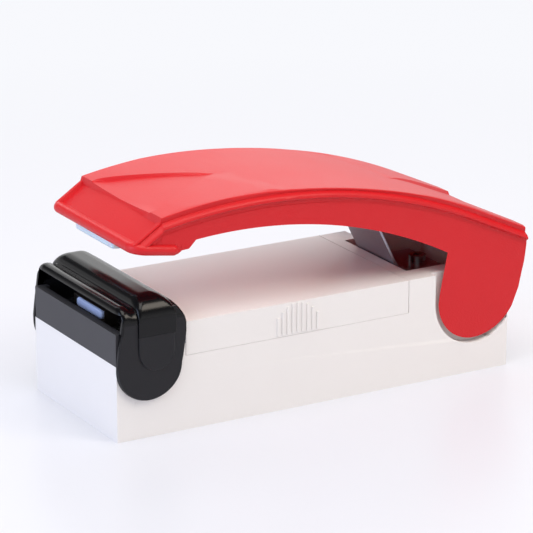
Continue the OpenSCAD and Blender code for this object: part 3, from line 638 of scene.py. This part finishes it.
# Filled front corners of the body, and its rounded long edges on the floor
CORNER = 1.25
FLOOR_ROUND = 0.6
# The battery cover's skirt, and its narrow foot: how thick, and its two heights over the skirt's lower edge
SKIRT_H = 7.6
FOOT_W = 0.32
FOOT_LOW = 0.06
FOOT_HIGH = 0.45
skirt_z = body_h - SKIRT_H


def white_body():
    """The tub with its front corners filled out to the panel's foot, and a broader round along the floor."""
    piece = node_copy("body_shell", "white_body")
    for y0, y1 in ((-half_w, CORNER - half_w), (half_w - CORNER, half_w)):
        post = block("corner", (front_x, y0, 0), (front_x + CORNER, y1, panel_low.z))
        cut_with(piece, post, "UNION")
    bevel(piece, lambda a, b: max(a.z, b.z) < NEAR and min(abs(a.y), abs(b.y)) > half_w - NEAR,
          FLOOR_ROUND, 2)
    soft_edges(piece, 0.2, 40, 2)
    return place(piece, "root", "white_abs", [white_abs], "body_shell", smooth=20)


def battery_lid():
    """The battery cover with a narrow foot along its skirt."""
    piece = node_copy("battery_cover", "battery_lid")
    for y0, y1 in ((-half_w, FOOT_W - half_w), (half_w - FOOT_W, half_w)):
        strip = block("skirt foot", (lid_low.x, y0, skirt_z + FOOT_LOW),
                      (lid_high.x, y1, skirt_z + FOOT_HIGH))
        cut_with(piece, strip, "UNION")
    soft_edges(piece, 0.2)
    return place(piece, "battery_cover", "white_abs", [white_abs], "battery_cover")


# The safety cover

# The hood and the strap that wraps over it
hood_y = cover_high.y - 0.55
strap_y = cover_high.y
HOOD_TOP = 29.7
HOOD_CORNER = 3.6
HOOD_SKIN = 3.3
STRAP_TOP = 31.5
STRAP_CORNER = 5.4
STRAP_SKIN = 4.9
# Height at which the two halves of the mould meet: gloss above it, matt and a touch lower below it
MOULD_LINE = 23.2
LINE_HALF = 0.04
LINE_STEP = 0.1
LINE_OUT = 0.45
# Heights of the strap's slices between its round end and its corner
STRAP_SLICES = [20.6, 21.8, MOULD_LINE - LINE_HALF, MOULD_LINE + LINE_HALF, 24.2, 25.2]
# The hood's oval ear, and the strap's round lower end
ear_x = flip.x + 0.1
ear_z = flip.z + 0.55
EAR_DROP = 7.5
EAR_REAR = 8.1
strap_x = flip.x + 1.85
strap_low = flip.z + 4.05
STRAP_R = 4.35
# Rounding of the edges on the sides, and what it grows by towards the top, in front and behind
EDGE_ROUND = 0.35
STRAP_REAR_ROUND = 0.4
HOOD_GROWS = (1.15, 0.9)
STRAP_GROWS = (2.6, 3.9)
# The groove in front of the strap
GROOVE_DEEP = 0.75
GROOVE_OUT = 0.5
GROOVE_W = 1.3
# The hood's front and rear edge, as (z, x)
HOOD_FRONT = [(16.15, -50.2), (17.5, -50.15), (21.5, -49.65), (27.7, -48.75), (29.7, -49.3)]
HOOD_REAR = [(16.15, -34.6), (22.5, -33.6), (25.4, -33.6), (29.7, -35.6)]
# The rear skirt, the hollow of the hood and the hollow of the strap in the side view, as (x, z)
REAR_SKIRT = [(-37.4, 28.8), (-36.2, 28.8), (-35.3, 27.9), (-33.9, 25.6), (-33.9, 24.65), (-37.4, 24.65)]
LID_UNDER = 28.3
lid_rear_z = body_h + 0.2
HOOD_HOLLOW = [(-58, 0), (-58, LID_UNDER), (-37, LID_UNDER), (-36.6, 27.2), (-35.2, lid_rear_z),
               (-28, lid_rear_z), (-28, 0)]
STRAP_HOLLOW = [(-43.6, 27), (-43.6, 29), (-42.4, 30), (-40.2, 30), (-38.1, 28.5), (-38.1, 27)]
# Gap between the hood's hollow and the body's sides, and how far the skirt and the strap's hollow end inside
SIDE_GAP = 0.12
SKIRT_IN = 0.2
STRAP_WALL = 2
# The studs on which the cover flips: radius, reach into the body and root in the hood's wall
HINGE_STUD_R = 1.6
HINGE_STUD_L = 2.4
HINGE_STUD_ROOT = 0.5


def rounding(distance, radius):
    """How far a rounded edge has dropped at a distance inside it."""
    if distance >= radius:
        return 0
    return radius - math.sqrt(radius ** 2 - (radius - max(0, distance)) ** 2)


def doorway(half, top, corner, lows):
    """Places up one side, round the corner and over the top: (y, z), outward direction, share of the turn."""
    upright = [((-half, z), (-1, 0), 0) for z in lows]
    turn = []
    centre = (corner - half, top - corner)
    for i in range(15):
        angle = math.radians(180 - 90 * i / 14)
        out = (math.cos(angle), math.sin(angle))
        share = 0.5 - 0.5 * math.cos(math.pi * i / 14)
        turn.append(((centre[0] + corner * out[0], centre[1] + corner * out[1]), out, share))
    flat = [((y, top), (0, 1), 1) for y in steps(corner - half, 0, 4)[1:]]
    near = upright + turn + flat
    far = [((-y, z), (-out_y, out_z), share) for (y, z), (out_y, out_z), share in reversed(near[:-1])]
    return near + far


def wrapped_ring(spot, edges, radii, depth, shape):
    """A slice across a shell that wraps over the heater, with rounded edges and its own surface shape."""
    (y, z), (out_y, out_z), share = spot
    front, rear = edges
    across = [front + (rear - front) * (0.5 - 0.5 * math.cos(math.pi * i / 26)) for i in range(27)]
    line = [(front, -depth)]
    for x in across:
        height = -rounding(x - front, radii[0]) - rounding(rear - x, radii[1])
        height += shape(x, z, share)
        line.append((x, height))
    line.append((rear, -depth))
    return [(x, y + out_y * h, z + out_z * h) for x, h in line]


def hood_shape(x, z, share):
    """The groove in front of the strap, and the round lower edge of the ear."""
    if share or z > ear_z:
        if x >= strap_x:
            return 0
        away = abs(x - (strap_x - STRAP_R - GROOVE_OUT))
        return -GROOVE_DEEP * share * max(0, 1 - away / GROOVE_W) ** 0.8
    reach = EAR_DROP if x < ear_x else EAR_REAR
    inside = EAR_DROP * (1 - math.hypot((x - ear_x) / reach, (z - ear_z) / EAR_DROP))
    return -rounding(inside, EDGE_ROUND)


def strap_shape(x, z, share):
    """The round lower end of the strap, and the mould line, below which it is a touch lower."""
    below = -LINE_STEP if z < MOULD_LINE else 0
    if share or z > strap_low:
        return below
    return below - rounding(STRAP_R - math.hypot(x - strap_x, z - strap_low), EDGE_ROUND)


def hood_shell():
    """The hood, from the foot of one ear over the top to the other."""
    drop = [ear_z - EAR_DROP * math.cos(math.radians(t)) for t in steps(9, 90, 14)]
    spots = doorway(hood_y, HOOD_TOP, HOOD_CORNER, drop + steps(ear_z, HOOD_TOP - HOOD_CORNER, 9)[1:-1])
    rings = []
    for spot in spots:
        z, share = spot[0][1], spot[2]
        if z < ear_z:
            width = math.sqrt(1 - ((z - ear_z) / EAR_DROP) ** 2)
            edges = (ear_x - EAR_DROP * width, ear_x + EAR_REAR * width)
        else:
            edges = (between(z, HOOD_FRONT), between(z, HOOD_REAR))
        radii = (EDGE_ROUND + HOOD_GROWS[0] * share, EDGE_ROUND + HOOD_GROWS[1] * share)
        rings.append(wrapped_ring(spot, edges, radii, HOOD_SKIN, hood_shape))
    return loft("hood shell", rings)


def hood_strap():
    """The raised strap, whose front and rear edges grow rounder towards the top."""
    drop = [strap_low - STRAP_R * math.cos(math.radians(t)) for t in steps(9, 90, 12)]
    rings = []
    for spot in doorway(strap_y, STRAP_TOP, STRAP_CORNER, drop + STRAP_SLICES):
        z, share = spot[0][1], spot[2]
        half = STRAP_R
        if z < strap_low:
            half = math.sqrt(STRAP_R ** 2 - (z - strap_low) ** 2)
        edges = (strap_x - half, strap_x + half + (LINE_OUT if z > MOULD_LINE else 0))
        radii = (EDGE_ROUND + STRAP_GROWS[0] * share, STRAP_REAR_ROUND + STRAP_GROWS[1] * share)
        rings.append(wrapped_ring(spot, edges, radii, STRAP_SKIN, strap_shape))
    return loft("strap", rings)


def flip_cover():
    """The safety cover: hood, rear skirt and strap in one moulding, hollow over the heater, on two studs."""
    piece = hood_shell()
    cut_with(piece, side_solid("rear skirt", REAR_SKIRT, SKIRT_IN - hood_y, hood_y - SKIRT_IN), "UNION")
    cut_with(piece, hood_strap(), "UNION")
    inner = half_w + SIDE_GAP
    cut_with(piece, side_solid("hollow", HOOD_HOLLOW, -inner, inner))
    cut_with(piece, side_solid("hollow of the strap", STRAP_HOLLOW, STRAP_WALL - inner, inner - STRAP_WALL))
    for side in (-1, 1):
        low, high = sorted((side * (half_w - HINGE_STUD_L), side * (inner + HINGE_STUD_ROOT)))
        cut_with(piece, side_solid("stud", arc(flip.xz, HINGE_STUD_R, *STUD_ARC), low, high), "UNION")
    piece.name = "flip_cover"
    tidy_faces(piece, 0.2)
    place(piece, "safety_cover", "black_abs", [black_gloss, black_matt], "safety_cover")
    for face in piece.data.polygons:
        face.material_index = 1 if face.center.z < MOULD_LINE * MM else 0
    return piece


# The other pieces that the eye sees


def front_panel():
    """The heater's carrier, whose front is the grey panel."""
    piece = node_copy("heater_carrier", "front_panel")
    soft_edges(piece, 0.15)
    return place(piece, "root", "dark_heat_plastic", [dark_panel], "heater_carrier")


def heater_bar():
    """The heater, whose rounded end shows under the safety cover."""
    piece = node_copy("heater_block", "heater_bar")
    soft_edges(piece, 0.5)
    return place(piece, "root", "pale_ceramic", [pale_ceramic], "heater_block")


def press_pad():
    """The soft pad under the lip."""
    piece = node_copy("pressure_pad", "press_pad")
    soft_edges(piece, 0.7)
    return place(piece, "handle", "silicone", [silicone], "pressure_pad")


def lift_spring():
    """The leaf spring from its frame node, with softened edges, put on no body."""
    piece = node_copy("leaf_spring", "lift_spring")
    soft_edges(piece, 0.08, 50, 2)
    place(piece, None, "spring_steel", [spring_steel], "leaf_spring")
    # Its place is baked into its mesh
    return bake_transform(piece)


def finish_inner_nodes():
    """Gives the nodes that keep their frame shape their finishes."""
    # The insulator and the release tape take finishes darkened as painted shade
    finishes = {
        "heat_insulator": mica_in_painted_shade, "heating_element": resistance_alloy, "release_tape": glass_cloth_in_painted_shade,
        "element_terminals": brass, "terminal_screws": zinc, "carrier_screws": zinc,
        "left_cell": cell_sleeve, "right_cell": cell_sleeve, "positive_contact": nickel,
        "negative_contact": nickel, "cell_link": nickel, "red_lead": red_pvc, "black_lead": black_pvc,
        "blue_lead": blue_pvc, "switch_blade": brass, "switch_anvil": brass, "switch_rivets": brass,
        "spring_screw": zinc,
    }
    for node, finish in finishes.items():
        mesh = frame["nodes"][node].data
        mesh.materials.clear()
        mesh.materials.append(finish)


# Stage, light and camera

# Strength of the even light around the part, and the point at which most lamps aim
ROOM_LIGHT = 0.64
LAMP_AIM = (0, 0, 20)
# The camera that was fitted to the photograph: degrees, millimetres
CAMERA_TURN = -30.05
CAMERA_RISE = 17.87
CAMERA_AIM = (0.35, 4.51, 24.64)
CAMERA_AWAY = 701.9
CAMERA_LENS = 211.8
SENSOR_W = 36


def make_floor():
    """A pale floor that dims near the part and glows white further off, for the camera alone."""
    deselect()
    bpy.ops.mesh.primitive_plane_add(size=6)
    floor = bpy.context.object
    floor.name = "floor"
    material = bpy.data.materials.new("pale polished floor")
    material.use_nodes = True
    tree = material.node_tree
    surface = tree.nodes["Principled BSDF"]
    surface.inputs["Base Color"].default_value = linear("#DCDCE4")
    surface.inputs["Roughness"].default_value = 0.3
    surface.inputs["Specular IOR Level"].default_value = 0.2
    glow = add(tree, "ShaderNodeEmission", {"Color": linear("#F9FAFE"), "Strength": 1})
    ray = add(tree, "ShaderNodeLightPath")
    where = add(tree, "ShaderNodeTexCoord")
    reach = add(tree, "ShaderNodeVectorMath", None, {0: where.outputs["Object"]}, operation="LENGTH")
    fade = add(tree, "ShaderNodeMapRange", {"From Min": 0.07, "From Max": 0.3, "To Min": 0.22, "To Max": 0.9},
               {"Value": reach.outputs["Value"]})
    share = add(tree, "ShaderNodeMath", None, {0: ray.outputs["Is Camera Ray"], 1: fade.outputs["Result"]},
                operation="MULTIPLY")
    both = add(tree, "ShaderNodeMixShader", None,
               {0: share.outputs[0], 1: surface.outputs[0], 2: glow.outputs[0]})
    tree.links.new(both.outputs[0], tree.nodes["Material Output"].inputs["Surface"])
    floor.data.materials.append(material)


def make_world():
    """White where the camera looks, with a darker ceiling in the reflections, and an even dim light."""
    world = bpy.data.worlds.new("white studio")
    scene.world = world
    world.use_nodes = True
    tree = world.node_tree
    ray = add(tree, "ShaderNodeLightPath")
    way = add(tree, "ShaderNodeTexCoord")
    height = add(tree, "ShaderNodeSeparateXYZ", None, {0: way.outputs["Generated"]})
    ceiling = add(tree, "ShaderNodeMapRange",
                  {"From Min": 0.05, "From Max": 0.42, "To Min": 1.0, "To Max": 0.12},
                  {"Value": height.outputs["Z"]})
    mirrored = add(tree, "ShaderNodeMath", None,
                   {0: ray.outputs["Is Glossy Ray"], 1: ray.outputs["Is Transmission Ray"]},
                   operation="MAXIMUM")
    room = add(tree, "ShaderNodeMix", {"A": ROOM_LIGHT},
               {"Factor": mirrored.outputs[0], "B": ceiling.outputs["Result"]})
    strength = add(tree, "ShaderNodeMath", None,
                   {0: room.outputs["Result"], 1: ray.outputs["Is Camera Ray"]}, operation="MAXIMUM")
    sky = tree.nodes["Background"]
    sky.inputs["Color"].default_value = (1, 1, 1, 1)
    tree.links.new(strength.outputs[0], sky.inputs["Strength"])


def make_lamp(name, place_mm, aim_mm, size_mm, watts, colour):
    """A square softbox at a place, turned towards a point."""
    lamp = bpy.data.lights.new(name, "AREA")
    lamp.size = size_mm * MM
    lamp.energy = watts
    lamp.color = linear(colour)[:3]
    stand = bpy.data.objects.new(name, lamp)
    scene.collection.objects.link(stand)
    stand.location = Vector(place_mm) * MM
    away = Vector(place_mm) - Vector(aim_mm)
    stand.rotation_euler = away.to_track_quat("Z", "Y").to_euler()


def make_camera():
    turn = math.radians(CAMERA_TURN)
    up = math.radians(CAMERA_RISE)
    back = Vector((math.sin(turn) * math.cos(up), -math.cos(turn) * math.cos(up), math.sin(up)))
    lens = bpy.data.cameras.new("camera")
    lens.sensor_width = SENSOR_W
    lens.lens = CAMERA_LENS
    camera = bpy.data.objects.new("camera", lens)
    scene.collection.objects.link(camera)
    camera.location = (Vector(CAMERA_AIM) + back * CAMERA_AWAY) * MM
    camera.rotation_euler = back.to_track_quat("Z", "Y").to_euler()
    scene.camera = camera


make_floor()
make_world()
make_lamp("key softbox", (250, -380, 480), LAMP_AIM, 240, 1.15, "#FFF4E6")
make_lamp("top softbox", (-60, -120, 620), LAMP_AIM, 380, 1.6, "#FFFDF8")
make_lamp("rear softbox", (180, 420, 330), LAMP_AIM, 500, 0.8, "#FFFFFF")
make_lamp("cool front panel", (-450, -20, 170), (-30, 0, 20), 300, 0.8, "#C9DCFF")
make_camera()

white_body()
battery_lid()
flip_cover()
front_panel()
heater_bar()
press_pad()
lift_spring()
red_handle()
finish_inner_nodes()

scene.view_settings.view_transform = "Standard"
